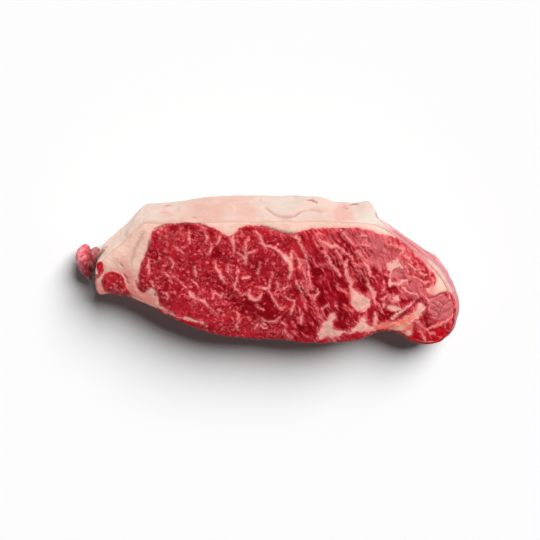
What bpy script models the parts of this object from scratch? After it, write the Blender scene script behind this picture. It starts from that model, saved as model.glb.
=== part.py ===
"""Raw sirloin steak: one thick slice of beef that lies on its back cut face.

The slice is a loft of closed rings. They run across the upper cut face from its middle line to
its edge, down the side, and in under it to the flat that it rests on. A knob of meat sticks out
of the left end and is joined on, so the whole steak is one solid.
Metres, +Z up, +X along the slice towards its tail, +Y towards the fat cap.
"""

import bmesh
import bpy
import numpy as np

# How thick the slice is, and where it thins towards its two ends.
THICKNESS = 0.032
LEFT_THICKNESS = 0.027
TAIL_THICKNESS = 0.022
LEFT_THIN_FROM, LEFT_THIN_TO = -0.055, -0.110
TAIL_THIN_FROM, TAIL_THIN_TO = 0.045, 0.120

# The edge of the upper cut face, clockwise from the corner under the knob. A smooth closed curve
# runs through these points.
LEFT_END = [(-0.1070, -0.0195), (-0.1090, -0.0100), (-0.1078, -0.0010), (-0.1040, 0.0058)]
FAT_SLOPE = [(-0.0910, 0.0180), (-0.0810, 0.0288), (-0.0748, 0.0324)]
FAT_BACK = [(-0.0560, 0.0334), (-0.0240, 0.0338), (0.0240, 0.0342), (0.0500, 0.0336)]
SHOULDER = [(0.0640, 0.0310), (0.0750, 0.0245), (0.0860, 0.0150), (0.1000, 0.0010)]
TAIL = [
    (0.1095, -0.0115),
    (0.1160, -0.0250),
    (0.1180, -0.0370),
    (0.1155, -0.0480),
    (0.1080, -0.0555),
    (0.0985, -0.0567),
    (0.0895, -0.0532),
]
NOTCH = [(0.0810, -0.0475), (0.0735, -0.0450), (0.0660, -0.0462)]
LEAN_EDGE = [
    (0.0540, -0.0502),
    (0.0370, -0.0515),
    (0.0200, -0.0512),
    (0.0090, -0.0493),
    (-0.0140, -0.0482),
    (-0.0280, -0.0470),
    (-0.0420, -0.0430),
    (-0.0575, -0.0358),
    (-0.0710, -0.0282),
    (-0.0870, -0.0214),
    (-0.0990, -0.0198),
]
OUTLINE = LEFT_END + FAT_SLOPE + FAT_BACK + SHOULDER + TAIL + NOTCH + LEAN_EDGE

# The middle line of the cut face ends where the two round ends begin.
MIDDLE_FROM, MIDDLE_TO = -0.085, 0.088
STEP = 0.0031
RINGS_ON_FACE = 13
CROWD_TO_EDGE = 1.35

# How far the foot of the side stands out from the face's edge: along the back at each place x,
# and along the front of the body and of the tail. The cap ends in a step at the shoulder.
BACK_FOOT = [
    (-0.0480, -0.0002),
    (-0.0370, 0.0034),
    (-0.0200, 0.0040),
    (0.0110, 0.0038),
    (0.0300, 0.0031),
    (0.0410, -0.0001),
    (0.0515, -0.0006),
    (0.0615, 0.0022),
    (0.0700, -0.0062),
    (0.0780, -0.0060),
    (0.0880, -0.0042),
    (0.0950, -0.0048),
    (0.1060, -0.0020),
]
FRONT_FOOT, TAIL_FOOT = -0.0050, -0.0040
SIDE_BULGE, TAIL_BULGE = 0.0012, 0.0042
BULGE_FROM, BULGE_TO = 0.084, 0.106
EDGE_RADIUS = 0.0022
FOOT_RADIUS = 0.0045
RINGS_ON_SIDE = 5
RINGS_ON_ROUNDING = 3
FLAT_RINGS = 2

# The relief of the cut face: a low crown, slow waves, and the two seams between its muscles.
CROWN = 0.0016
WAVE_HEIGHT = 0.0005
FAT_SEAM = [
    (-0.0800, -0.0020),
    (-0.0730, 0.0240),
    (-0.0620, 0.0290),
    (-0.0510, 0.0318),
    (-0.0360, 0.0270),
    (-0.0250, 0.0205),
    (-0.0160, 0.0270),
    (-0.0020, 0.0270),
    (0.0120, 0.0215),
    (0.0260, 0.0260),
    (0.0480, 0.0260),
    (0.0680, 0.0200),
]
FAT_SEAM_DEPTH, FAT_SEAM_WIDTH = 0.0011, 0.0020
TAIL_SEAM = [(0.0760, -0.0460), (0.0870, -0.0380), (0.0940, -0.0290), (0.1080, -0.0180)]
TAIL_SEAM_DEPTH, TAIL_SEAM_WIDTH = 0.0017, 0.0035

# Shallow dents in the outer side of the fat cap: place along the cap, height, width, depth.
CAP_DENTS = [
    (0.0080, 0.016, 0.010, 0.0016),
    (-0.0480, 0.020, 0.012, 0.0010),
    (0.0420, 0.018, 0.012, 0.0012),
]
DENT_HEIGHT = 0.006

# The knob at the left end: a tongue of meat that narrows and bends to its tip at the front, and
# the root that holds it. Each is a ball drawn out to its three half sizes.
TONGUE_AT, TONGUE_HALF = (-0.1163, -0.0050, 0.0125), (0.0045, 0.0112, 0.0078)
TONGUE_TAPER, TONGUE_BEND = 0.60, 0.0034
ROOT_AT, ROOT_HALF = (-0.1097, -0.0032, 0.0120), (0.0052, 0.0078, 0.0070)
ROOT_TAPER, ROOT_BEND = 0.20, 0.0

MEAT_RED = (0.36, 0.025, 0.030, 1.0)


def clear_scene():
    for item in list(bpy.data.objects):
        bpy.data.objects.remove(item, do_unlink=True)


def ease(t):
    """0 below 0, 1 above 1, and a smooth rise between."""
    t = np.clip(t, 0.0, 1.0)
    return t * t * (3.0 - 2.0 * t)


def thickness(x):
    """The height of the cut face above the rest at each place along the slice."""
    left = ease((LEFT_THIN_FROM - x) / (LEFT_THIN_FROM - LEFT_THIN_TO))
    tail = ease((x - TAIL_THIN_FROM) / (TAIL_THIN_TO - TAIL_THIN_FROM))
    return THICKNESS - (THICKNESS - LEFT_THICKNESS) * left - (THICKNESS - TAIL_THICKNESS) * tail


def smooth_loop(points, steps=24):
    """A closed Catmull-Rom curve through the points, as a fine polyline."""
    p = np.array(points)
    before, after, beyond = np.roll(p, 1, 0), np.roll(p, -1, 0), np.roll(p, -2, 0)
    t = (np.arange(steps) / steps)[None, :, None]
    a, b, c, d = (q[:, None, :] for q in (before, p, after, beyond))
    curve = b + 0.5 * t * (c - a + t * (2 * a - 5 * b + 4 * c - d + t * (3 * (b - c) + d - a)))
    return curve.reshape(-1, 2)


def spread(path, count):
    """count points at equal distances along an open path, its first point left out."""
    along = np.concatenate([[0.0], np.cumsum(np.linalg.norm(np.diff(path, axis=0), axis=1))])
    at = np.linspace(0.0, along[-1], count + 1)[1:]
    return np.stack([np.interp(at, along, path[:, k]) for k in (0, 1)], axis=1)


def paired_outline():
    """The outline, and the middle-line point that each of its points faces.

    Over the straight middle the two long sides are cut at the same x. Round each end the points
    are spread evenly and all face the last point of the middle line.
    """
    loop = smooth_loop(OUTLINE)
    start = np.argmin(loop[:, 0])
    loop = np.roll(loop, -start, axis=0)
    turn = np.argmax(loop[:, 0])
    upper, lower = loop[: turn + 1], np.concatenate([loop[turn:], loop[:1]])[::-1]
    xs = np.linspace(MIDDLE_FROM, MIDDLE_TO, round((MIDDLE_TO - MIDDLE_FROM) / STEP) + 1)
    top = np.stack([xs, np.interp(xs, upper[:, 0], upper[:, 1])], axis=1)
    bottom = np.stack([xs, np.interp(xs, lower[:, 0], lower[:, 1])], axis=1)
    middle = (top + bottom) / 2

    right = np.concatenate(
        [top[-1:], upper[upper[:, 0] > MIDDLE_TO], lower[lower[:, 0] > MIDDLE_TO][::-1], bottom[-1:]]
    )
    left = np.concatenate(
        [bottom[:1], lower[lower[:, 0] < MIDDLE_FROM][::-1], upper[upper[:, 0] < MIDDLE_FROM], top[:1]]
    )
    right = spread(right, round(np.linalg.norm(np.diff(right, axis=0), axis=1).sum() / STEP))
    left = spread(left, round(np.linalg.norm(np.diff(left, axis=0), axis=1).sum() / STEP))
    edge = np.concatenate([top, right, bottom[::-1][1:], left[:-1]])
    faced = np.concatenate(
        [
            middle,
            np.repeat(middle[-1:], len(right), axis=0),
            middle[::-1][1:],
            np.repeat(middle[:1], len(left) - 1, axis=0),
        ]
    )
    return edge, faced


def outward(edge):
    """The direction away from the slice at each point of the outline, in plan."""
    along = np.roll(edge, -1, axis=0) - np.roll(edge, 1, axis=0)
    normal = np.stack([-along[:, 1], along[:, 0]], axis=1)
    return normal / np.linalg.norm(normal, axis=1)[:, None]


def distance_to(path, at):
    """The distance in plan from each point to an open polyline."""
    a, b = np.array(path[:-1]), np.array(path[1:])
    offset = at[:, None, :] - a[None]
    share = np.clip((offset * (b - a)).sum(2) / ((b - a) ** 2).sum(1), 0.0, 1.0)
    return np.linalg.norm(offset - share[..., None] * (b - a), axis=2).min(1)


def face_height(at, share):
    """The height of the cut face. share is 0 on the middle line and 1 at the edge."""
    x, y = at[:, 0], at[:, 1]
    waves = np.sin(x / 0.0105 + 1.7 * np.sin(y / 0.017)) * np.cos(y / 0.0088 + x / 0.023)
    inside = 1.0 - share**4
    height = thickness(x) + (CROWN + WAVE_HEIGHT * waves) * inside
    height = height - FAT_SEAM_DEPTH * np.exp(-((distance_to(FAT_SEAM, at) / FAT_SEAM_WIDTH) ** 2))
    return height - TAIL_SEAM_DEPTH * np.exp(-((distance_to(TAIL_SEAM, at) / TAIL_SEAM_WIDTH) ** 2))


def tail_share(x):
    """0 over the body of the slice and 1 over its tail."""
    return ease((x - BULGE_FROM) / (BULGE_TO - BULGE_FROM))


def foot_out(edge, normal):
    """How far the foot stands out from the face's edge, from the back's steps to the front's."""
    x = edge[:, 0]
    back = BACK_FOOT[0][1]
    for (start, low), (end, high) in zip(BACK_FOOT[:-1], BACK_FOOT[1:]):
        back = back + (high - low) * ease((x - start) / (end - start))
    front = FRONT_FOOT + (TAIL_FOOT - FRONT_FOOT) * tail_share(x)
    return front + (back - front) * ease((normal[:, 1] + 0.1) / 0.9)


def dent(edge, normal, z):
    """How deep the side of the fat cap is pressed in at height z."""
    depth = np.zeros(len(edge))
    for along, height, width, deep in CAP_DENTS:
        depth += deep * np.exp(-(((edge[:, 0] - along) / width) ** 2) - ((z - height) / DENT_HEIGHT) ** 2)
    return depth * ease(normal[:, 1])


def side_rings(edge, normal):
    """The rings down the side: the rounded edge, the wall, and the rounding at the foot."""
    top = face_height(edge, np.ones(len(edge)))
    foot = foot_out(edge, normal)
    bulge = SIDE_BULGE + (TAIL_BULGE - SIDE_BULGE) * tail_share(edge[:, 0])
    rings = []
    for angle in np.linspace(0.0, np.pi / 2, RINGS_ON_ROUNDING + 1)[1:]:
        rings.append((EDGE_RADIUS * (np.sin(angle) - 1), top - EDGE_RADIUS * (1 - np.cos(angle))))
    for t in np.linspace(0.0, 1.0, RINGS_ON_SIDE + 1)[1:]:
        z = (top - EDGE_RADIUS) * (1 - t) + FOOT_RADIUS * t
        rings.append((foot * t + bulge * 4 * t * (1 - t) - dent(edge, normal, z), z))
    for angle in np.linspace(0.0, np.pi / 2, RINGS_ON_ROUNDING + 1)[1:]:
        rings.append((foot - FOOT_RADIUS * (1 - np.cos(angle)), FOOT_RADIUS * (1 - np.sin(angle))))
    return [(edge + normal * np.reshape(out, (-1, 1)), np.broadcast_to(z, len(edge))) for out, z in rings]


def slice_rings():
    """All rings, from the middle line of the cut face to the middle line of the flat under it."""
    edge, faced = paired_outline()
    normal = outward(edge)
    face_edge = edge - normal * EDGE_RADIUS
    rings = []
    for share in (np.arange(RINGS_ON_FACE + 1) / RINGS_ON_FACE) ** (1 / CROWD_TO_EDGE):
        at = faced + (face_edge - faced) * share
        rings.append(np.column_stack([at, face_height(at, np.full(len(at), share))]))
    for at, z in side_rings(edge, normal):
        rings.append(np.column_stack([at, z]))
    last = rings[-1][:, :2]
    for share in np.linspace(1.0, 0.0, FLAT_RINGS + 1)[1:]:
        at = faced + (last - faced) * share
        rings.append(np.column_stack([at, np.zeros(len(at))]))
    return rings


def loft(rings, name):
    """One closed mesh through the rings. Both middle lines are folded shut by welding."""
    bm = bmesh.new()
    rows = [[bm.verts.new(tuple(p)) for p in ring] for ring in rings]
    count = len(rows[0])
    for upper, lower in zip(rows[:-1], rows[1:]):
        for k in range(count):
            after = (k + 1) % count
            bm.faces.new((upper[k], upper[after], lower[after], lower[k]))
    bmesh.ops.remove_doubles(bm, verts=bm.verts, dist=1e-6)
    bmesh.ops.recalc_face_normals(bm, faces=bm.faces)
    mesh = bpy.data.meshes.new(name)
    bm.to_mesh(mesh)
    bm.free()
    return mesh


def lobe_mesh(at, half, taper, bend):
    """A lobe of the knob: a drawn-out ball, narrower towards the front, its front bent to +X."""
    bm = bmesh.new()
    bmesh.ops.create_uvsphere(bm, u_segments=18, v_segments=12, radius=1.0)
    for vert in bm.verts:
        x, y, z = vert.co
        lump = 1.0 + 0.06 * np.sin(3.0 * x + 4.0 * z) * np.cos(3.5 * y)
        wide = (1.0 + taper * y) * lump
        vert.co.x = at[0] + half[0] * x * wide + bend * min(y, 0.0) ** 2
        vert.co.y = at[1] + half[1] * y * lump
        vert.co.z = at[2] + half[2] * z * wide
    mesh = bpy.data.meshes.new("lobe")
    bm.to_mesh(mesh)
    bm.free()
    return mesh


def meat_material():
    material = bpy.data.materials.new("meat")
    material.use_nodes = True
    shader = material.node_tree.nodes["Principled BSDF"]
    shader.inputs["Base Color"].default_value = MEAT_RED
    shader.inputs["Roughness"].default_value = 0.4
    shader.inputs["Metallic"].default_value = 0.0
    return material


def add(mesh, name, collection):
    item = bpy.data.objects.new(name, mesh)
    collection.objects.link(item)
    return item


def join(steak, lobe):
    """Grow a lobe into the slice, and drop it as a separate object."""
    union = steak.modifiers.new("lobe", "BOOLEAN")
    union.operation = "UNION"
    union.object = lobe
    view = bpy.context.evaluated_depsgraph_get()
    joined = bpy.data.meshes.new_from_object(steak.evaluated_get(view))
    steak.modifiers.remove(union)
    bpy.data.objects.remove(lobe, do_unlink=True)
    steak.data = joined


def centre_on_base(mesh):
    """Put the origin under the middle of the steak, where it rests."""
    places = np.empty(len(mesh.vertices) * 3)
    mesh.vertices.foreach_get("co", places)
    places = places.reshape(-1, 3)
    middle = (places.min(0) + places.max(0)) / 2
    places -= (middle[0], middle[1], places[:, 2].min())
    mesh.vertices.foreach_set("co", places.ravel())


def build():
    clear_scene()
    collection = bpy.data.collections.new("raw_sirloin_steak")
    bpy.context.scene.collection.children.link(collection)
    steak = add(loft(slice_rings(), "steak"), "steak", collection)
    root = lobe_mesh(ROOT_AT, ROOT_HALF, ROOT_TAPER, ROOT_BEND)
    join(steak, add(root, "root_lobe", collection))
    tongue = lobe_mesh(TONGUE_AT, TONGUE_HALF, TONGUE_TAPER, TONGUE_BEND)
    join(steak, add(tongue, "tongue_lobe", collection))
    centre_on_base(steak.data)
    steak.data.materials.clear()
    steak.data.materials.append(meat_material())
    steak.data.shade_smooth()


build()
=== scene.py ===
"""Raw sirloin steak: the finished look of the slice and its knob of meat, and the light on it."""

import bmesh
import bpy
import numpy as np
from mathutils import Euler, Matrix, Vector


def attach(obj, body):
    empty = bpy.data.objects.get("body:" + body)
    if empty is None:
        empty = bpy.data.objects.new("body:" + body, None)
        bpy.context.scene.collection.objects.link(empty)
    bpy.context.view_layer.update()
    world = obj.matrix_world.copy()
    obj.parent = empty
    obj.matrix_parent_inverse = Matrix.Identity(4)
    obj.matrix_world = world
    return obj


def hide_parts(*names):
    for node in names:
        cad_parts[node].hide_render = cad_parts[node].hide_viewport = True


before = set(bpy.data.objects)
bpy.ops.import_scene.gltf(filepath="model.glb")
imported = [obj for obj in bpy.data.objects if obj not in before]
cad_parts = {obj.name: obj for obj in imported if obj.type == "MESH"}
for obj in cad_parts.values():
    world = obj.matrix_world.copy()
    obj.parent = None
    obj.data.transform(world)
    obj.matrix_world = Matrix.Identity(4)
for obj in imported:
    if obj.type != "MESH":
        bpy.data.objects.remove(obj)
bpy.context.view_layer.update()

# ----------------------------------------------------------------------
# Where the steak is looked at from. It lies on its back cut face, and the eye is above it and
# over towards the fat cap, so that the fat shows its outer side along the top of the frame.
# Marks on the meat are placed by steps of that frame, 540 each way.

FRAME_STEPS = 540
STEP_ACROSS = 0.000614
LENS, SENSOR = 90.0, 36.0
TILT = np.radians(25.0)
AIM_HEIGHT = 0.032

sight = -np.array([0.0, np.sin(TILT), np.cos(TILT)])
sight_up = np.array([0.0, np.cos(TILT), -np.sin(TILT)])
aim = np.array([0.0, 0.0, AIM_HEIGHT])
eye = aim - sight * STEP_ACROSS * FRAME_STEPS * LENS / SENSOR


def seen(points):
    """Where points in space are seen: frame steps across from the left, and down from the top.

    Each point's offset from the eye is divided by its depth along the line of sight.
    """
    offset = points - eye
    wide = FRAME_STEPS * LENS / SENSOR / (offset @ sight)
    across = FRAME_STEPS / 2 + offset[..., 0] * wide
    return np.stack([across, FRAME_STEPS / 2 - offset @ sight_up * wide], axis=-1)


# ----------------------------------------------------------------------
# The upper cut face of the slice. It is lean flesh with fat through it, cut clean across with a
# long knife: a grid of rings from the face's middle line out to its edge, with the furrows where
# one muscle meets the next. The outline is the solid's own.

THICKNESS, LEFT_THICKNESS, TAIL_THICKNESS = 0.032, 0.027, 0.022
LEFT_FROM, LEFT_RUN, TAIL_FROM, TAIL_RUN = -0.055, 0.055, 0.045, 0.075
CROWN, WAVE_HEIGHT, WAVE_SWAY = 0.0016, 0.0005, 1.7
WAVE_LENGTHS = (0.0105, 0.017, 0.0088, 0.023)
EDGE_PATH = [
    # the left end, under and beside the knob
    (-0.1070, -0.0195), (-0.1090, -0.0100), (-0.1078, -0.0010), (-0.1040, 0.0058),
    # the straight slope of fat, and the long back of the fat cap
    (-0.0910, 0.0180), (-0.0810, 0.0288), (-0.0748, 0.0324), (-0.0560, 0.0334),
    (-0.0240, 0.0338), (0.0240, 0.0342), (0.0500, 0.0336),
    # the shoulder, where the fat runs out, and the tail
    (0.0640, 0.0310), (0.0750, 0.0245), (0.0860, 0.0150), (0.1000, 0.0010), (0.1095, -0.0115),
    (0.1160, -0.0250), (0.1180, -0.0370), (0.1155, -0.0480), (0.1080, -0.0555),
    (0.0985, -0.0567), (0.0895, -0.0532),
    # the notch beside the tail, and the lean edge back to the left end
    (0.0810, -0.0475), (0.0735, -0.0450), (0.0660, -0.0462), (0.0540, -0.0502),
    (0.0370, -0.0515), (0.0200, -0.0512), (0.0090, -0.0493), (-0.0140, -0.0482),
    (-0.0280, -0.0470), (-0.0420, -0.0430), (-0.0575, -0.0358), (-0.0710, -0.0282),
    (-0.0870, -0.0214), (-0.0990, -0.0198),
]
MIDDLE_FROM, MIDDLE_TO = -0.085, 0.088
GRID, FACE_RINGS, EDGE_RADIUS = 0.00056, 78, 0.0022
# noise repeats after this many of its own sizes; its layers are (size, height, seed), and the
# drift's heights are in frame steps
LATTICE = 32
DRIFT = ((0.0016, 0.45, 41), (0.0034, 0.5, 43), (0.0075, 0.6, 45))
FACE_ROUGHNESS = ((0.0052, 0.00030, 11), (0.0023, 0.00016, 12))
RIM_ROUGHNESS = ((0.0065, 0.00045, 3), (0.0024, 0.00022, 4))
FAT_ROUGH_SHARE = 0.35
GAP_DEPTH, BORDER_DEPTH, CREASE_DEPTH = 0.00022, 0.00012, 0.0002
VEIN_HEIGHT, FAT_HEIGHT = 0.00012, 0.0002
ASTRAY, VEIN_SWELL, CRUMB_SHRINK = 2.1, 0.12, 0.3
FACE_WANDER, FACE_RAGGED = 1.0, 1.0
OBLIQUE = (0.5, 0.7, 0.4)
LATTICE_TURN = np.array(Euler(OBLIQUE).to_matrix())

# Loops round the tissues, and strokes of (across, down, half the width), all in frame steps.
LEAN_LOOP = [
    (152, 232), (157, 228.6), (164, 226.2), (172, 224.4), (180, 223), (188, 222.4), (196, 223.6),
    (205, 225.6), (213, 227.8), (219, 230.8), (224, 234), (228, 236), (232, 235.2), (236, 232),
    (240, 228.8), (246, 226.6), (253, 226.2), (261, 227.2), (268, 228.8), (276, 230.4), (283, 232.8),
    (290, 234), (297, 233.2), (303, 230.8), (312, 228.8), (325, 228.2), (340, 227.8), (355, 228.2),
    (365, 229.8), (374, 232), (383, 234.6), (392, 237), (400, 240), (409, 247), (419, 257), (427, 265),
    (433, 272), (437, 279), (436, 285), (430, 288), (431, 294), (438, 294), (446, 291.6), (452, 293),
    (464, 300), (464, 330), (450, 350), (425, 354), (404, 350), (394, 346), (380, 348), (366, 350),
    (340, 354), (300, 354), (250, 352), (222, 348), (200, 342), (176, 329), (160, 316), (156.5, 309),
    (158.6, 303), (158, 296), (155, 290.5), (151, 288), (147, 290.5), (144, 293.5), (140.5, 292.5),
    (137.6, 288), (138.4, 281), (138.6, 275), (140, 268.5), (142, 261), (145, 254), (148, 248),
    (149.6, 240),
]
SMALL_MUSCLE_LOOP = [
    (102, 280), (104, 275), (109, 272), (115, 271.6), (120, 273.6), (124, 277.6), (125.4, 283),
    (127, 288), (130, 293), (132, 299), (126, 300.6), (119, 297.4), (112, 294), (106, 292.6),
    (103, 289), (101.4, 285),
]
SMALL_PATCH_LOOP = [
    (96.6, 264), (98.6, 261.6), (101.4, 261.4), (103, 264), (102.4, 267.6), (103, 271), (101, 275),
    (98, 278.6), (96.4, 277), (97.6, 272), (96.4, 268),
]
LEAN_LOOPS = (LEAN_LOOP, SMALL_MUSCLE_LOOP, SMALL_PATCH_LOOP)

EYE_VEINS = [
    [(189, 231, 0.5), (189, 238, 0.9), (190, 243, 0.5)],
    [(205, 233, 0.4), (207, 237, 0.8), (206, 242, 0.6)],
    [(220, 237, 0.5), (219, 241, 0.9), (216, 244.5, 0.6)],
    [(211, 244, 0.5), (211, 248, 1.1), (209, 254, 0.6)],
    [(233, 236, 1), (232.5, 241, 2), (234, 247, 1.1), (233, 253, 0.3)],
    [(195, 267, 0.6), (195.5, 272, 1.2), (196, 276, 0.7)],
    [(214.5, 261, 0.4), (215, 267, 0.7), (217, 269.5, 1), (219, 273, 1.5), (222, 278, 1.3),
     (224, 282, 0.6)], [(148.6, 258, 0.4), (148, 264, 1.1), (148.4, 269, 0.8), (149, 273, 0.9)],
    [(151.4, 281, 0.4), (152.6, 285, 0.8), (153.4, 288, 0.4)],
    [(173, 246, 0.4), (177, 249, 0.6), (181, 250, 0.6), (184, 253, 0.4)],
    [(160, 271, 0), (164, 273, 0.4), (168, 276, 0.4), (172, 277.5, 0)],
    [(174, 277, 0), (178, 280, 0.3), (182, 283.6, 0.1), (185, 287, 0.3), (188, 289, -0.2)],
    [(189, 292, 1.1), (191, 295, 2), (195, 298, 1.3), (198, 299.6, 0.8), (203, 301, 1.2),
     (208, 306, 0.8)], [(208, 306, 0.7), (211, 310, 0.1), (215, 313, 0.2), (219, 315, -0.3)],
    [(212, 299, 0.4), (213.5, 295, 0.7), (214.5, 292.5, 0.6), (218, 294.5, 0.4), (221, 297, 1),
     (223, 294, 0.4)], [(238, 270.6, 0.8), (238.4, 272.4, 0.7)],
    [(237, 276, 0.5), (236, 281, 0.9), (233.5, 285, 1.1), (235, 289, 0.9), (239, 292, 0.6),
     (243, 295, 0.4)], [(228, 266, 0.7), (228, 271, 0.5)],
    [(191, 280, 0.4), (195, 283, 0.5), (198, 287, 0.3)],
    [(171, 259, 0.5), (173, 263, 0.5), (172.6, 268, 0.4)],
    [(166, 293, 0.5), (167.5, 296, 0.8), (167, 300, 0.4)],
    [(236, 312, 0.5), (238.5, 316, 0.7), (237, 319, 0.5)],
    [(240, 320, 0.5), (236.5, 324, 0.7), (237, 328, 0.7), (239.6, 331, 0.5)],
    [(256, 232, 0.7), (259, 236, 1), (261, 240, 1), (263, 244, 1.5), (265, 246.5, 1.1),
     (270, 246.4, 0.9)],
    [(270, 246.4, 0.9), (275, 247.6, 0.9), (279, 251, 1), (282, 253.6, 1.6), (286, 257.4, 2.8)],
    [(286, 257.4, 2.8), (289, 260.4, 3.2), (291, 264.6, 1.8), (291, 270, 1.3), (289.6, 277, 1.1)],
    [(291.6, 251, 0.8), (292, 258, 1.6)],
    [(248, 238, 0.5), (246.5, 242, 0.9), (246, 248, 0.8), (245, 254, 1), (245.2, 259, 1.5),
     (246, 265, 0.8)], [(238, 254, 0.5), (241, 256, 0.8), (244, 258, 1.3)],
    [(247, 254, 0.6), (252, 252, 0.5), (256, 250, 0.4)],
    [(260, 262, 0.3), (259, 268, 0.4), (258, 273, 0.9)],
    [(243, 278, 1), (246, 277.5, 0.8), (249, 277, 0.6)],
    [(249, 290, 0.8), (249.4, 294, 1.3), (251, 297.6, 1.6), (255, 299.2, 1.1), (259, 298.4, 1.2),
     (261, 294, 0.8)],
    [(262, 288, 0.9), (265, 289, 1.4), (269, 288, 1.2), (270, 284, 0.9), (270.4, 279, 0.5)],
    [(268, 290, 0.7), (271, 295, 0.6), (275, 300, 0.6), (278, 305, 0.7), (280, 308, 0.6),
     (285, 306, 0.4)], [(272, 272.6, 0.8), (273, 274.4, 0.6)], [(277, 282.6, 0.7), (278, 287.4, 0.9)],
    [(284, 288, 0.8), (287.4, 286, 0.8)],
    [(285, 296, 0.3), (289, 299, 0.4), (294, 300, 0.5), (293.5, 305, 0.8), (292, 310, 1.1),
     (291, 314.6, 0.5)], [(302.6, 313, 0.5), (301.5, 318, 1), (301, 324, 0.9)],
    [(256, 304, 0.4), (259, 307, 0.5), (263, 309, 0.7)],
    [(262, 318, 0.6), (265, 320.4, 0.9), (270, 321.8, 0.9), (275, 321, 0.8), (279, 317.6, 0.5)],
    [(264, 323, 1.1), (265.4, 324.4, 0.9)], [(259, 324, 0.4), (262, 327.4, 0.5), (267, 328.6, 0.4)],
    [(254.6, 329, 0.9), (257, 325, 0.7)], [(282, 323, 1.1), (284.4, 326, 0.7), (287, 326, 0.4)],
    [(284, 329, 0.6), (287, 334, 0.8), (290, 339, 0.8)],
]
FIBRE_VEINS = [
    [(296, 236, 1.3), (299, 239, 1.4), (301, 243, 0.9), (303, 249, 0.8)],
    [(304, 249, 0.4), (305, 255, 0.6), (306.4, 261, 0.5), (308.5, 266, 0.9), (309, 272, 1)],
    [(309, 272, 1), (309, 278, 0.8), (310.5, 283, 1.1), (311.6, 287, 0.5)],
    [(297, 258, 0.5), (299.6, 265, 1.1), (299, 269, 0.7)],
    [(302, 283, 0.4), (305, 289, 0.6), (309, 295, 0.5), (313, 300, 0.4)],
    [(296, 280, 0.4), (300, 288, 0.5), (303, 294, 0.4), (305, 301, 0.5), (306, 307, 0.4)],
    [(303, 268, 0.3), (305, 275, 0.4), (307, 283, 0.3)],
    [(318, 290, 0.6), (317, 294, 0.9), (313.5, 297, 0.9), (312, 300, 0.5)],
    [(320, 240, 1.2), (326, 243.5, 1.8), (331, 246, 2.2), (336, 245.4, 1.4), (341, 247, 0.7),
     (348, 254, 0.6)],
    [(323, 252, 0.6), (326, 256, 1), (329, 258.6, 0.9), (331, 262, 1.1), (334, 266.6, 1.3),
     (340, 275, 0.5)], [(336, 251, 0.9), (339, 254, 0.8), (342, 257, 0.4)],
    [(341, 229, 0.5), (343, 233, 0.9), (346, 237, 1.1), (350, 241, 0.9), (353, 243, 0.4)],
    [(350, 254, 0.4), (352, 258, 0.6), (353, 262, 0.4), (356, 266, 0.4), (361, 272, 0.3)],
    [(348, 260, 0.8), (346.4, 264, 1.6), (346, 268, 1.6), (347, 272, 1.7), (349, 277, 1.2),
     (350, 280, 1.5)], [(350, 280, 1.5), (351.4, 284, 2), (351, 288, 1.3), (353, 293, 2)],
    [(357, 251, 1.5), (360, 254, 1.5), (363, 257.6, 1.1), (366, 261, 1), (368, 266, 1),
     (370, 272, 0.9)], [(370, 272, 0.9), (370, 277, 0.7)],
    [(366, 279, 0.6), (368, 284, 1.1), (371, 288, 2.2), (373, 292, 2.1), (374, 298, 1.5),
     (376, 304, 0.7)], [(362, 243, 1.1), (366, 245, 1.4), (369, 246, 0.6)],
    [(361, 235, 1.4), (367, 237, 1)],
    [(390, 243.6, 0.5), (396, 246.4, 0.7), (401, 247, 0.6), (404, 250.6, 0.6), (400, 253.6, 0.6)],
    [(402, 287.6, 0.7), (407, 290.4, 1), (413, 294, 1), (418, 296, 0.6)],
    [(383, 299, 1), (386, 297, 0.9)], [(384.6, 305, 1.2), (385, 308.6, 1)],
    [(335.6, 302, 0.5), (336.4, 306, 0.7)], [(321, 309, 0.8), (325, 306, 1.1), (327, 305, 0.6)],
    [(383, 281, 0.4), (384, 287, 0.8), (382, 293, 0.5)],
    [(412, 252, 0.5), (418, 255, 1), (424, 260.6, 0.9)],
]
TAIL_VEINS = [
    [(394, 243, 0.5), (399, 247, 0.8), (403, 253, 0.5)],
    [(404, 256, 0.4), (409, 259, 0.8), (413, 264, 0.6)],
    [(408, 264, 0.4), (413, 268, 0.7), (419, 270, 0.6), (424, 269, 0.3)],
    [(419, 272, 0.3), (423, 275, 0.8), (427, 274, 0.5)],
    [(426, 262, 0.4), (430, 268, 0.6), (431, 274, 0.4)],
    [(411, 276, 0.3), (417, 279, 0.6), (424, 283, 0.8), (430, 283, 0.4)],
    [(402, 262, 0.3), (406, 268, 0.5), (408, 274, 0.4)],
    [(431, 277, 0.4), (435, 283, 0.6), (432, 287, 0.4)],
    [(416, 256, 0.4), (421, 258, 0.6), (425, 262, 0.3)],
    [(428, 330, 0.6), (433, 326.6, 0.9), (439, 324.6, 1), (445, 323, 1), (451, 317.6, 1),
     (457, 309, 1)], [(420, 332, 0.3), (423.4, 337, 0.9), (426, 342, 0.4)],
    [(427, 329, 0.5), (430, 335, 0.5), (433, 333, 0.9), (434.4, 336, 0.4)],
    [(411, 321, 0.4), (418, 321, 0.6), (420, 326, 0.6)],
    [(426, 297, 0.4), (429, 303, 0.5), (428, 310, 0.3)], [(449, 293, 0.6), (450, 299, 0.5)],
    [(440, 339.6, 0.5), (446, 338, 0.5)], [(431, 301, 0.1), (436, 299, 0.3), (441, 298, 0.1)],
    [(434, 307, 0.1), (439, 304, 0.3), (444, 301, 0.1)],
    [(437, 314, 0.1), (442, 310, 0.3), (449, 306, 0.1)],
    [(431, 316, 0.1), (436, 318, 0.3), (441, 316, 0.1)],
]
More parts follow.
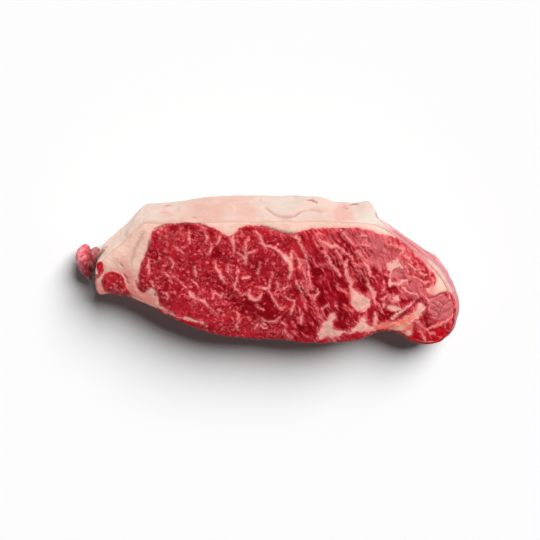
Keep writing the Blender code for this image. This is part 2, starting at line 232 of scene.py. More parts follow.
EDGE_FRINGE = [
    [(156, 305, 1.8), (160, 308.4, 1.6), (163, 308.6, 1.1), (168, 312, 1), (172, 314.8, 1.7),
     (176, 317, 0.9)],
    [(176, 317, 0.9), (182, 318.4, 1), (188, 319.2, 1.3), (194, 320.6, 1.7), (200, 321.4, 1.2),
     (206, 326, 0.4)], [(163, 312, 0.5), (170, 317, 0.8), (174, 321, 0.9), (178, 324, 0.5)],
    [(154, 309, 1.4), (158, 312.4, 1.3), (161, 314, 0.8)],
]
BLOB_LOOP = [
    (351.4, 291), (355, 290.6), (360, 293), (366, 296.6), (370, 300), (370.4, 305), (366, 310),
    (360, 312), (354, 309), (351, 303),
]
BAND_LOOP = [
    (318, 334), (321, 328), (323, 322.6), (327, 320), (329, 316), (333, 312), (335, 315), (334, 321),
    (332.6, 326), (336, 330), (342, 331), (349, 331), (353, 328), (357, 325), (360, 320), (363, 317.6),
    (366, 320), (368.4, 326), (372, 326), (374, 321), (374.4, 316), (376, 312.6), (377.4, 318),
    (378, 324), (385, 323), (394, 321.4), (401, 319), (407, 315.4), (413, 311), (418, 304),
    (421, 302.4), (424, 306), (424.6, 310), (421, 314), (414, 320), (412, 326), (412, 333), (408, 337),
    (398, 338), (390, 336), (380, 337), (372, 335), (362, 332.6), (356, 332), (349, 334), (343, 333),
    (340, 336), (334, 338), (326, 337.6), (319, 340),
]
RIM_LOOP = [
    (428, 259), (434, 263.6), (440, 269), (446, 277), (450, 285), (453, 291), (448, 292.6), (441, 293),
    (434, 294.6), (428, 292), (427, 288.6), (432, 286.4), (438, 285), (439, 277), (434, 270),
    (429, 264),
]
HOOK_LOOP = [
    (385, 262), (389, 260), (393, 259.4), (396, 257.6), (399, 259), (401, 263), (403.6, 267),
    (400, 268), (396, 266.6), (393, 269), (391.6, 275), (391.6, 280), (396, 280.6), (402, 279.6),
    (408, 279.6), (410, 281), (406, 282.6), (400, 283.4), (394, 284), (389, 287), (388, 281),
    (389, 274), (387, 268),
]
CRUMB_LOOP = [(391.6, 296), (395, 294.6), (399, 296), (400, 300), (396, 302.4), (392, 301)]
LOW_CRUMB_LOOP = [(388.4, 307), (392, 304), (398, 305.4), (399, 309.6), (394, 312), (389, 311)]
STRAND = [
    [(392, 318.6, 1.1), (399, 313.4, 1.4), (405, 308.6, 1.4), (410, 304.4, 1), (414, 300.6, 0.5)],
    [(403, 238.6, 1), (409, 243.4, 1.4), (416, 249, 1.5), (424, 256, 1.3), (430, 262, 1)],
]
RED_ISLANDS = [
    [(343, 336, 1.2), (347, 337, 2.4), (350, 336.6, 1.8)], [(356, 335.4, 1.8), (361, 334.6, 2)],
    [(371, 333.6, 1), (379, 331.4, 1.2), (386, 330.4, 0.8)],
]
SALMON = [
    [(376, 328, 3), (386, 327, 4.5), (396, 324.6, 4.5), (405, 321, 3.5), (413, 316, 2.5)],
    [(404, 236, 1), (412, 241.6, 1.6), (420, 248, 1.6), (428, 256, 1.2)],
    [(394, 333, 1.4), (403, 332, 2.6), (410, 327, 3.6), (414, 321, 2.4)],
]
TAIL_FILM = [
    [(392, 229.6, 1.4), (404, 236.6, 3.4), (415, 245, 4.2), (427, 256, 3.4), (438, 265.6, 2.6),
     (447, 275, 3.2)],
    [(447, 275, 3.2), (453, 285, 3.4), (457, 297, 3.2), (458.6, 312, 2.6), (457, 324, 1.8),
     (452, 334, 1.2)],
    [(452, 334, 1), (444, 340, 0.9), (434, 343.4, 0.7), (421, 343, 0.6), (409, 339.4, 0.7),
     (401, 336, 0.8)],
]
# Dark seams between tissues: each is a shallow furrow, and its dark red is partly the seam's own colour,
# partly painted shade.
DARK_GAPS = [
    [(154, 229, 0.2), (163, 226, 0.6), (172, 224, 0.8), (180, 222.8, 0.9), (188, 222.4, 1),
     (197, 223.8, 0.8)], [(197, 223.8, 0.8), (205, 226.4, 0.5), (212, 230, 0.3)],
    [(256, 227, 0.2), (266, 228.4, 0.7), (274, 230, 0.8), (281, 232.4, 0.9), (286, 233.8, 1.1),
     (292, 234, 0.9)], [(292, 234, 0.9), (299, 233.2, 0.3)],
    [(355, 251, 0), (360, 256, 0.3), (366, 262, 0.3), (371, 267, 0)],
    [(401, 285.6, 0.2), (405, 287, 0.3), (409, 291, 0.7), (412, 292, 0.3)],
    [(396, 317, 0.1), (402, 313.6, 0.3), (408, 309.6, 0.3), (413, 306, 0.3), (418, 299.6, 0.2)],
    [(429, 298.6, 0.3), (434, 297.2, 0.6), (440, 294.6, 0.6), (449, 292.4, 0.3)],
    [(421, 313, 0.4), (424, 318, 0.8), (426, 324, 1), (427.4, 328, 0.4)],
    [(403.6, 237.2, 0.2), (410, 242.8, 0.4), (418, 249.6, 0.5), (426, 257, 0.3)],
    [(263, 321.8, 0.3), (267, 323.4, 0.4), (268.6, 325.6, 0.3)],
    [(148.4, 250, 0.4), (146, 255, 0.5), (143.6, 259, 0.2)], [(154.4, 294.6, 0.8), (154.8, 295.8, 0.6)],
    [(121, 264.4, 0.2), (122, 266.6, 0.2)], [(124.6, 275, 0.3), (127.4, 279, 0.4), (128.4, 284, 0.2)],
    [(136, 281, 0.4), (136.8, 286, 0.5), (137.6, 289, 0.3)], [(345, 248, 0.2), (348, 251, 0.1)],
    [(449, 294, 0), (443, 306, 0.2), (439, 314, 0.3), (437, 321, 0)],
    [(432, 303, -0.2), (437, 306, 0.1), (441, 310, 0)],
    [(430, 309, -0.2), (436, 311, 0.1), (440, 314, 0)],
    [(434, 298, -0.2), (439, 301, 0.1), (443, 305, 0)],
    [(455, 299, -0.3), (449, 302, 0.1), (444, 306, 0)],
    [(456, 307, -0.3), (449, 310, 0.1), (443, 313, 0)],
    [(428, 314, -0.2), (433, 316, 0.1), (438, 318, 0)],
    [(369, 336, 0.2), (378, 332.6, 0.7), (388, 331, 0.8), (399, 333, 0.7), (408, 338, 0.3)],
]
# Creases in the fat and the film: each is a shallow furrow, and its grey is painted shade.
CREASES = [
    [(144, 232, 0.3), (139, 241, 0.8), (135, 249, 1.3), (133, 256, 0.9), (131, 263, 0.3)],
    [(151, 240, 0.2), (148, 247, 0.6), (144, 256, 0.5)],
    [(104, 258, 0.2), (112, 250, 0.4), (121, 240, 0.3)],
    [(97, 256, 0.5), (101, 252, 0.7), (106, 247, 0.4)],
    [(429, 257.6, 0.5), (438, 266, 0.9), (446, 275.6, 1.1), (451.6, 286, 1), (455, 297, 0.5)],
    [(401, 232, 0.4), (408, 237, 0.5), (416, 243.6, 0.3)],
    [(393, 276, 0.5), (396, 271, 0.7), (400, 274, 0.5)],
]
DARK_PLACES = [
    (268, 302, 9, 1), (266, 274, 7, 0.6), (247, 305, 9, 0.8), (330, 286, 9, 0.7), (342, 299, 9, 0.7),
    (326, 296, 8, 0.6), (388, 314, 8, 0.9), (396, 314, 7, 0.8), (404, 304, 5, 0.5), (256, 310, 10, 0.6),
    (271, 314, 8, 0.9), (220, 283, 8, 0.5), (310, 268, 7, 0.4), (347, 323, 8, 0.6), (390, 290, 4, 0.8),
    (425, 300, 4, 0.8), (419, 299, 3, 0.8), (428, 319, 6, 0.7), (305, 333, 12, 0.5),
    (225, 325, 12, 0.4), (200, 262, 14, 0.4), (375, 300, 5, 0.5), (187, 226, 12, 0.4),
    (182, 290, 12, 0.3), (300, 320, 14, 0.3), (218, 256, 10, 0.5), (255, 263, 7, 0.5),
    (252, 281, 6, 0.5), (266, 236, 8, 0.4), (358, 282, 5, 0.6), (364, 290, 4, 0.5), (340, 262, 6, 0.4),
]
BRIGHT_PLACES = [
    (99, 267, 5, 1.1), (111, 275, 7, 0.5), (172, 252, 8, 0.7), (180, 308, 12, 0.7), (433, 278, 5, 1),
    (157, 243, 6, 0.6), (436, 336, 13, 1.4), (415, 337, 7, 1.2), (359, 335, 4, 0.9), (346, 337, 4, 0.9),
    (253, 290, 6, 0.5), (190, 328, 12, 0.9), (245, 333, 16, 0.5), (312, 243, 9, 0.6),
    (218, 328, 9, 0.5), (262, 232, 6, 0.4), (417, 263, 4, 0.6), (428, 267, 3, 0.8), (421, 278, 5, 0.6),
    (399, 250, 5, 0.5), (376, 285, 4, 0.7), (300, 250, 6, 0.5),
]
PALE_PLACES = [
    (383, 246, 16, 0.9), (365, 240, 12, 0.8), (400, 262, 14, 0.8), (415, 275, 14, 0.8),
    (398, 273, 7, 1.4), (391, 303, 9, 1.3), (168, 263, 5, 0.8), (330, 236, 12, 0.5),
    (180, 236, 17, 0.45), (377, 262, 12, 0.8), (413, 288, 9, 1), (442, 308, 14, 1.9), (424, 294, 7, 1),
    (418, 325, 7, 0.8), (405, 290, 6, 1.2), (408, 246, 10, 0.8), (299, 275, 9, 0.3),
    (356, 236, 10, 0.5), (382, 232, 12, 0.7), (342, 236, 8, 0.5), (431, 296, 5, 0.7),
    (362, 263, 8, 0.5), (165, 240, 9, 0.4), (116, 292, 7, 0.6), (128, 296, 4, 0.7),
]
LOBE_PLACES = [(436, 303, 9, 0.8), (446, 309, 10, 0.8), (438, 315, 7, 0.5)]
ROSY_PLACES = [
    (122, 264, 8, 0.5), (134, 292, 10, 1), (140, 301, 9, 0.9), (110, 294, 9, 1.2), (104, 274, 5, 0.7),
    (129, 276, 8, 0.8), (99, 288, 5, 1), (97, 266, 5, 0.6), (151, 300, 7, 1.1), (134, 224, 6, 0.4),
    (408, 242, 10, 1), (151, 228, 5, 0.3), (431, 290, 6, 0.8), (420, 333, 8, 0.5), (398, 334, 8, 0.4),
    (416, 250, 8, 1.3), (424, 257, 6, 1.2), (100, 296, 5, 0.6), (120, 300, 6, 0.9),
]


def ease(t):
    """0 below 0, 1 above 1, and a smooth rise between."""
    t = np.clip(t, 0.0, 1.0)
    return t * t * (3.0 - 2.0 * t)


def thickness(x):
    """The slice's height at x: even over its middle, eased down towards both ends."""
    left = ease((LEFT_FROM - x) / LEFT_RUN)
    tail = ease((x - TAIL_FROM) / TAIL_RUN)
    return THICKNESS - (THICKNESS - LEFT_THICKNESS) * left - (THICKNESS - TAIL_THICKNESS) * tail


def noise(at, size, seed):
    """Smooth noise from -1 to 1: random values on a lattice of this size, eased between points."""
    at = np.asarray(at) @ LATTICE_TURN / size
    cell = np.floor(at).astype(int)
    t = ease(at - cell)
    values = np.random.default_rng(seed).uniform(-1.0, 1.0, (LATTICE,) * 3)
    total = 0.0
    for corner in np.ndindex(2, 2, 2):
        weight = np.prod(np.where(corner, t, 1.0 - t), axis=-1)
        i, j, k = np.moveaxis((cell + corner) % LATTICE, -1, 0)
        total = total + weight * values[i, j, k]
    return total


def layered(at, *layers):
    """The sum of several noises, each (size, height, seed)."""
    return sum(noise(at, size, seed) * high for size, high, seed in layers)


def at_height(plan, height):
    """Plan points with a height, as points in space."""
    return np.concatenate([plan, np.broadcast_to(height, plan.shape[:-1])[..., None]], axis=-1)


def smooth_loop(points, steps=24):
    """A closed Catmull-Rom curve through the points, as a fine polyline."""
    p = np.array(points)
    before, after, beyond = np.roll(p, 1, 0), np.roll(p, -1, 0), np.roll(p, -2, 0)
    t = (np.arange(steps) / steps)[None, :, None]
    a, b, c, d = (q[:, None, :] for q in (before, p, after, beyond))
    curve = b + 0.5 * t * (c - a + t * (2 * a - 5 * b + 4 * c - d + t * (3 * (b - c) + d - a)))
    return curve.reshape(-1, 2)


def spread(path):
    """Points at equal distances of one grid step along an open path, its first point left out."""
    along = np.concatenate([[0.0], np.cumsum(np.linalg.norm(np.diff(path, axis=0), axis=1))])
    at = np.linspace(0.0, along[-1], round(along[-1] / GRID) + 1)[1:]
    return np.stack([np.interp(at, along, path[:, k]) for k in (0, 1)], axis=1)


def paired_outline():
    """The face's edge, and the middle-line point that each of its points faces.

    Over the straight middle both long sides are cut at the same x. Round each end the points are
    spread evenly and all face the last point of the middle line.
    """
    loop = smooth_loop(EDGE_PATH)
    loop = np.roll(loop, -np.argmin(loop[:, 0]), axis=0)
    turn = np.argmax(loop[:, 0])
    upper, lower = loop[: turn + 1], np.concatenate([loop[turn:], loop[:1]])[::-1]
    xs = np.linspace(MIDDLE_FROM, MIDDLE_TO, round((MIDDLE_TO - MIDDLE_FROM) / GRID) + 1)
    top = np.stack([xs, np.interp(xs, *upper.T)], axis=1)
    bottom = np.stack([xs, np.interp(xs, *lower.T)], axis=1)
    middle = (top + bottom) / 2
    right = spread(np.concatenate([top[-1:], loop[loop[:, 0] > MIDDLE_TO], bottom[-1:]]))
    left_lower, left_upper = lower[lower[:, 0] < MIDDLE_FROM], upper[upper[:, 0] < MIDDLE_FROM]
    left = spread(np.concatenate([bottom[:1], left_lower[::-1], left_upper, top[:1]]))
    rim = np.concatenate([top, right, bottom[::-1][1:], left[:-1]])
    ends = [middle[-1:].repeat(len(right), 0), middle[:1].repeat(len(left) - 1, 0)]
    return rim, np.concatenate([middle, ends[0], middle[::-1][1:], ends[1]])


def outward(path):
    """The direction away from the slice at each point of a closed path, in plan."""
    along = np.roll(path, -1, axis=0) - np.roll(path, 1, axis=0)
    normal = np.stack([-along[:, 1], along[:, 0]], axis=1)
    return normal / np.linalg.norm(normal, axis=1)[:, None]


def reach(strokes, at):
    """How far inside the nearest stroke each place is, in millimetres, and less than 0 outside.

    Between two stroke points the half width runs evenly, and the value is that less the distance.
    """
    best = np.full(at.shape[:-1], -50.0)
    for stroke in strokes:
        path = np.array(stroke, dtype=float)
        for (*a, wide), (*b, narrow) in zip(path[:-1], path[1:]):
            run = np.subtract(b, a)
            share = np.clip(((at - a) @ run) / (run @ run), 0.0, 1.0)
            off = np.linalg.norm(at - a - share[..., None] * run, axis=-1)
            best = np.maximum(best, wide + (narrow - wide) * share - off)
    return best * STEP_ACROSS * 1000.0


def inside(loop, at):
    """The distance from a smooth closed loop in millimetres: more than 0 inside, less outside."""
    path = smooth_loop(loop, 5)
    nearest, crossed = np.full(at.shape[:-1], 500.0), np.zeros(at.shape[:-1], dtype=int)
    for a, b in zip(path, np.roll(path, -1, axis=0)):
        run = b - a
        share = np.clip(((at - a) @ run) / (run @ run), 0.0, 1.0)
        nearest = np.minimum(nearest, np.linalg.norm(at - a - share[..., None] * run, axis=-1))
        spans = (a[1] > at[..., 1]) != (b[1] > at[..., 1])
        slope = run[0] / run[1] if run[1] else 0.0
        crossed += spans & (at[..., 0] < a[0] + (at[..., 1] - a[1]) * slope)
    return nearest * np.where(crossed % 2, 1.0, -1.0) * STEP_ACROSS * 1000.0


def inside_any(loops, at):
    """The same distance for the loop that a place is deepest in."""
    return np.max([inside(loop, at) for loop in loops], axis=0)


def places(spots, at):
    """The sum of soft round spots, each (across, down, radius, strength)."""
    total = 0.0
    for across, down, radius, strength in spots:
        off = np.linalg.norm(at - (across, down), axis=-1) / radius
        total = total + strength * np.exp(-(off**2))
    return total


def tissue(points, wander):
    """The fields that say which tissue is where, at points of a cut face.

    The places are first shifted about by noise, so that no stroke runs quite straight.
    """
    at = seen(points)
    drift = [layered(points, *[(size, far, seed + k) for size, far, seed in DRIFT]) for k in (0, 10)]
    drift = np.stack(drift, axis=-1)
    at, astray = at + drift * wander, at + drift * (wander * ASTRAY)
    lumps = inside_any((BLOB_LOOP, BAND_LOOP, RIM_LOOP), at)
    crumbs = inside_any((HOOK_LOOP, CRUMB_LOOP, LOW_CRUMB_LOOP), astray) - CRUMB_SHRINK
    fat = np.max([lumps, crumbs, reach(EDGE_FRINGE + STRAND, at)], axis=0)
    return {
        "lean": inside_any(LEAN_LOOPS, at),
        "fat": np.minimum(fat, -reach(RED_ISLANDS, at)),
        "vein": np.maximum(reach(EYE_VEINS, at), reach(FIBRE_VEINS + TAIL_VEINS, astray)) + VEIN_SWELL,
        "gap": reach(DARK_GAPS, at),
        "crease": reach(CREASES, at),
        "salmon": reach(SALMON, at),
        "film": reach(TAIL_FILM, at),
        "tone": places(BRIGHT_PLACES, at) - places(DARK_PLACES, at),
        "pale": places(PALE_PLACES, at),
        "rosy": places(ROSY_PLACES, at),
        "lobe": places(LOBE_PLACES, at),
    }


def face_relief(plan, share, fields):
    """The height of the cut face above its rest.

    It is the slice's thickness with a low crown and slow waves that fade out at the edge, and fine
    unevenness, less a furrow along each gap, and with the fat smoother and a little proud of the lean.
    """
    x, y = plan[..., 0], plan[..., 1]
    along, sway, across, slant = WAVE_LENGTHS
    waves = np.sin(x / along + WAVE_SWAY * np.sin(y / sway)) * np.cos(y / across + x / slant)
    rough = layered(at_height(plan, 0), *FACE_ROUGHNESS)
    rough = rough * (FAT_ROUGH_SHARE + (1 - FAT_ROUGH_SHARE) * ease((fields["lean"] + 0.6) / 1.2))
    height = thickness(x) + (CROWN + WAVE_HEIGHT * waves) * (1.0 - share**4) + rough
    height = height - GAP_DEPTH * np.exp(-((np.minimum(fields["gap"], 0.0) / 0.7) ** 2))
    height = height - BORDER_DEPTH * np.exp(-((fields["lean"] / 1.6) ** 2))
    height = height - CREASE_DEPTH * ease((fields["crease"] + 1.2) / 2.0)
    height = height + VEIN_HEIGHT * ease((fields["vein"] + 0.5) / 0.9)
    return height + FAT_HEIGHT * ease((fields["fat"] + 0.8) / 1.8)


rim_path, faced = paired_outline()
rim_out = outward(rim_path)
rim_rough = layered(at_height(rim_path, 0), *RIM_ROUGHNESS)
rim_path = rim_path + rim_out * rim_rough[:, None]

face_edge = rim_path - rim_out * EDGE_RADIUS
face_share = (np.arange(FACE_RINGS + 1) / FACE_RINGS)[:, None]
face_plan = faced + (face_edge - faced) * face_share[..., None]
face_fields = tissue(at_height(face_plan, thickness(face_plan[..., 0]) + CROWN * 0.8), FACE_WANDER)
face_points = at_height(face_plan, face_relief(face_plan, face_share, face_fields))

# from the outline's own origin to the middle of the solid's box
FRAME_SHIFT = (0.00047, 0.01058, 0.0)


def put(name, points, fields):
    """A surface of rings as an object: quads between rings, welded where a ring folds shut.

    points holds the rings, each a closed row, and fields are stored on the points by name.
    """
    rows, count = points.shape[:2]
    here = np.arange(rows * count).reshape(rows, count)
    after = np.roll(here, -1, axis=1)
    quads = np.stack([here[:-1], after[:-1], after[1:], here[1:]], axis=-1).reshape(-1, 4)
    mesh = bpy.data.meshes.new(name)
    mesh.from_pydata((points + FRAME_SHIFT).reshape(-1, 3), [], quads)
    for field, values in fields.items():
        layer = mesh.attributes.new(field, "FLOAT", "POINT")
        values = np.broadcast_to(values, (rows, count)).astype(np.float32)
        layer.data.foreach_set("value", values.ravel())
    welded = bmesh.new()
    welded.from_mesh(mesh)
    bmesh.ops.remove_doubles(welded, verts=welded.verts, dist=1e-6)
    welded.to_mesh(mesh)
    welded.free()
    mesh.shade_smooth()
    piece = bpy.data.objects.new(name, mesh)
    bpy.context.scene.collection.objects.link(piece)
    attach(piece, "root")
    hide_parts("steak")
    return piece


class Wire:
    """A number, colour or vector on its way through a material; operators add Math nodes."""

    def __init__(self, tree, socket):
        self.tree, self.socket = tree, socket

    def make(self, kind, settings=None, values=None, out=0):
        """A new node of this kind, its settings first, then its sockets' values or links."""
        node = self.tree.nodes.new("ShaderNode" + kind)
        for name, value in (settings or {}).items():
            setattr(node, name, value)
        for key, value in (values or {}).items():
            if isinstance(value, Wire):
                self.tree.links.new(value.socket, node.inputs[key])
            else:
                node.inputs[key].default_value = value
        return Wire(self.tree, node.outputs[out])

    def math(self, operation, *others):
        return self.make("Math", {"operation": operation}, dict(enumerate((self,) + others)))

    def __add__(self, other):
        return self.math("ADD", other)

    def __mul__(self, other):
        return self.math("MULTIPLY", other)

    def __sub__(self, other):
        return self.math("SUBTRACT", other)

    def __rsub__(self, other):
        return self * -1.0 + other

    def over(self, other):
        return self.math("MAXIMUM", other)

    def size(self):
        return self.math("ABSOLUTE")

    def rise(self, low, high):
        """0 up to low, 1 from high on, smooth between. low may be the larger."""
        limits = {"Value": self, "From Min": low, "From Max": high}
        return self.make("MapRange", {"interpolation_type": "SMOOTHSTEP"}, limits)

    def blend(self, low, high):
        """The colour low where this is 0 and high where it is 1."""
        return self.make("Mix", {"data_type": "RGBA"}, {0: self, 6: low, 7: high}, out=2)

    def skewed(self):
        """This place in a frame turned about all three axes, so that no texture's grid shows."""
        turn = {"Vector": self, "Rotation": OBLIQUE}
        return self.make("VectorRotate", {"rotation_type": "EULER_XYZ"}, turn)

    def noise(self, size, detail=2.0, rough=0.5, out=0):
        """Noise of this feature size at this place."""
        values = {"Vector": self.skewed(), "Scale": 1.0 / size, "Detail": detail, "Roughness": rough}
        return self.make("TexNoise", {}, values, out=out)

    def cells(self, size, out=0):
        """Cells of this size: the distance to the nearest point, or with out=1 a random colour."""
        values = {"Vector": self.skewed(), "Scale": 1.0 / size}
        return self.make("TexVoronoi", {}, values, out=out)

    def turned(self, angle, stretch):
        """This place turned about the upright and stretched by the three factors."""
        spun = self.make("VectorRotate", {"rotation_type": "Z_AXIS"}, {"Vector": self, "Angle": angle})
        return spun.make("VectorMath", {"operation": "MULTIPLY"}, {0: spun, 1: stretch})

    def jostled(self, size, amount):
        """This place moved about by noise of this size."""
        push = self.noise(size, 1.0, out=1)
        centred = push.make("VectorMath", {"operation": "SUBTRACT"}, {0: push, 1: (0.5, 0.5, 0.5)})
        scaled = push.make("VectorMath", {"operation": "SCALE"}, {0: centred, "Scale": amount})
        return push.make("VectorMath", {"operation": "ADD"}, {0: self, 1: scaled})

    def field(self, name):
        """A value stored on the mesh."""
        return self.make("Attribute", {"attribute_name": name}, out=2)


def new_look(name):
    """An empty material, its surface shader, and the place on the piece."""
    material = bpy.data.materials.new(name)
    material.use_nodes = True
    tree = material.node_tree
    place = Wire(tree, tree.nodes.new("ShaderNodeTexCoord").outputs["Object"])
    return material, tree.nodes["Principled BSDF"], place


WET_COAT, COAT_ROUGHNESS, MEAT_GLOSS = 0.06, 0.20, 0.14


def finish_look(surface, colour, roughness, height, bump):
    """Give the shader its colour, roughness and relief, and the faint gloss of wet meat."""
    relief = colour.make("Bump", {}, {"Strength": 1.0, "Distance": bump, "Height": height})
    for socket, wire in (("Base Color", colour), ("Roughness", roughness), ("Normal", relief)):
        colour.tree.links.new(wire.socket, surface.inputs[socket])
    surface.inputs["Coat Weight"].default_value = WET_COAT
    surface.inputs["Coat Roughness"].default_value = COAT_ROUGHNESS
    surface.inputs["Specular IOR Level"].default_value = MEAT_GLOSS


def shade(red, green, blue):
    """A display colour, 0 to 255 a channel, as the light values that a shader takes."""
    c = np.array([red, green, blue]) / 255.0
    linear = np.where(c <= 0.04045, c / 12.92, ((c + 0.055) / 1.055) ** 2.4)
    return (*[float(v) for v in linear], 1.0)


DEEP_RED, MID_RED, FRESH_RED = shade(126, 4, 16), shade(158, 22, 34), shade(180, 34, 46)
LOBE_RED, BRIGHT_RED = shade(180, 88, 92), shade(184, 5, 23)
PALE_FLESH, NET_PINK = shade(198, 98, 102), shade(216, 96, 100)
VEIN_PINK, VEIN_CREAM = shade(228, 134, 130), shade(232, 180, 166)
CUT_FAT, PALE_FAT, ROSY_FAT = shade(224, 180, 163), shade(234, 198, 182), shade(224, 142, 132)
# the crease grey is painted shade; the gap red is the seams' own dark red, deepened as painted shade in
# their furrows
LUMP_CREAM, CREASE_SHADE, GAP_RED_AND_SHADE = shade(210, 158, 140), shade(190, 142, 132), shade(116, 14, 24)
FILM_PINK, SALMON_PINK = shade(212, 138, 138), shade(228, 98, 82)
FIBRE_TURN, SALMON_TURN, LOBE_TURN = np.radians(60.0), np.radians(-28.0), np.radians(-50.0)
FIBRES_FROM, FIBRES_TO = 0.008, 0.020
DOT_SIZE, FLECK_SIZE, STRING_SIZE, THREAD_SIZE, BAND_SIZE = 0.0031, 0.0020, 0.0044, 0.0017, 0.0036
CUT_BUMP = 0.00035


def lean_colour(place, tone, pale, vein):
    """Red flesh and its marbling, and how much marbling there is, for the relief.

    Over the eye the fibres are cut end on, with soft dots and threads of fat between them; towards
    the tail they are drawn out in streaks. That fine net is laid over the red first, and then the
    veins by their depth in millimetres, from red through pink to cream.
    """
    wandering = place.jostled(0.0045, 0.0026).jostled(0.0015, 0.0013)
    slow, quick = place.noise(0.010, 2.0), wandering.noise(0.0034, 2.0, 0.5)
    across = place.make("SeparateXYZ", {}, {0: place})
    fibred = (across + (slow - 0.5) * 0.02).rise(FIBRES_FROM, FIBRES_TO)
    drawn = place.jostled(0.0100, 0.0060).jostled(0.0030, 0.0010).turned(FIBRE_TURN, (0.22, 1.0, 1.0))
    threads, bands = drawn.noise(THREAD_SIZE, 2.0, 0.6), drawn.noise(BAND_SIZE, 2.0, 0.6)
    mottle = wandering.noise(0.0022, 2.0, 0.6)
    fine = mottle * (1 - fibred) + threads * fibred

    depth = slow + quick * 0.8 + (bands - 0.5) * 2.0 * fibred + fine * 0.5 + tone * 0.34 - 0.65
    red = depth.rise(0.15, 0.50).blend(DEEP_RED, MID_RED)
    red = depth.rise(0.45, 0.90).blend(red, FRESH_RED)
    red = tone.rise(0.4, 1.3).blend(red, BRIGHT_RED)
    paled = (pale - tone.size() * 0.5 + (quick - 0.5) + (fine - 0.5) * 3.8).rise(0.05, 1.7)
    red = (paled * 0.88).blend(red, PALE_FLESH)
    splits = (drawn.noise(BAND_SIZE, 2.0) - 0.5).size().rise(0.030, 0.0)
    red = (splits * (across.rise(0.012, 0.040) * 0.55)).blend(red, DEEP_RED)

    patchy = place.noise(0.0065, 2.0) - 0.5
    dots = wandering.cells(DOT_SIZE) * -3.8 + wandering.cells(DOT_SIZE, 1) * 1.4 + patchy * 3.0 + 0.42
    strings = (wandering.noise(STRING_SIZE, 2.0) - 0.5).size() * -17.0 + patchy * -3.0 + 0.32
    flecks = wandering.cells(FLECK_SIZE) * -4.2 + wandering.cells(FLECK_SIZE, 1) * 2.6 - 0.90
    on_end = dots.over(strings).over(flecks) + (mottle - 0.5) * 1.3
    along = (threads - 0.5) * 4.6 + (bands - 0.5) * 3.2 + patchy * 3.6 - 0.15
    net = on_end * (1 - fibred) + along * fibred - tone.size() * 0.6
    bright = net.rise(0.35, 1.1)
    net = net.rise(-0.30, fibred * 0.1 + 0.60)

    vein = vein + (place.noise(0.0019, 2.0, 0.6) - 0.5) * 2.2 + (place.noise(0.0008, 1.0) - 0.5) * 1.2
    red = (net * (0.70 - paled * 0.25)).blend(red, NET_PINK)
    red = (bright * 0.3).blend(red, VEIN_PINK)
    red = (vein.rise(-1.2, 0.1) * 0.5).blend(red, NET_PINK)
    red = (vein.rise(-0.20, 0.50) * 0.92).blend(red, VEIN_PINK)
    red = (vein.rise(0.75, 1.6) * 0.85).blend(red, VEIN_CREAM)
    return red, net * 0.5 + vein.rise(-0.5, 0.4) * 0.5


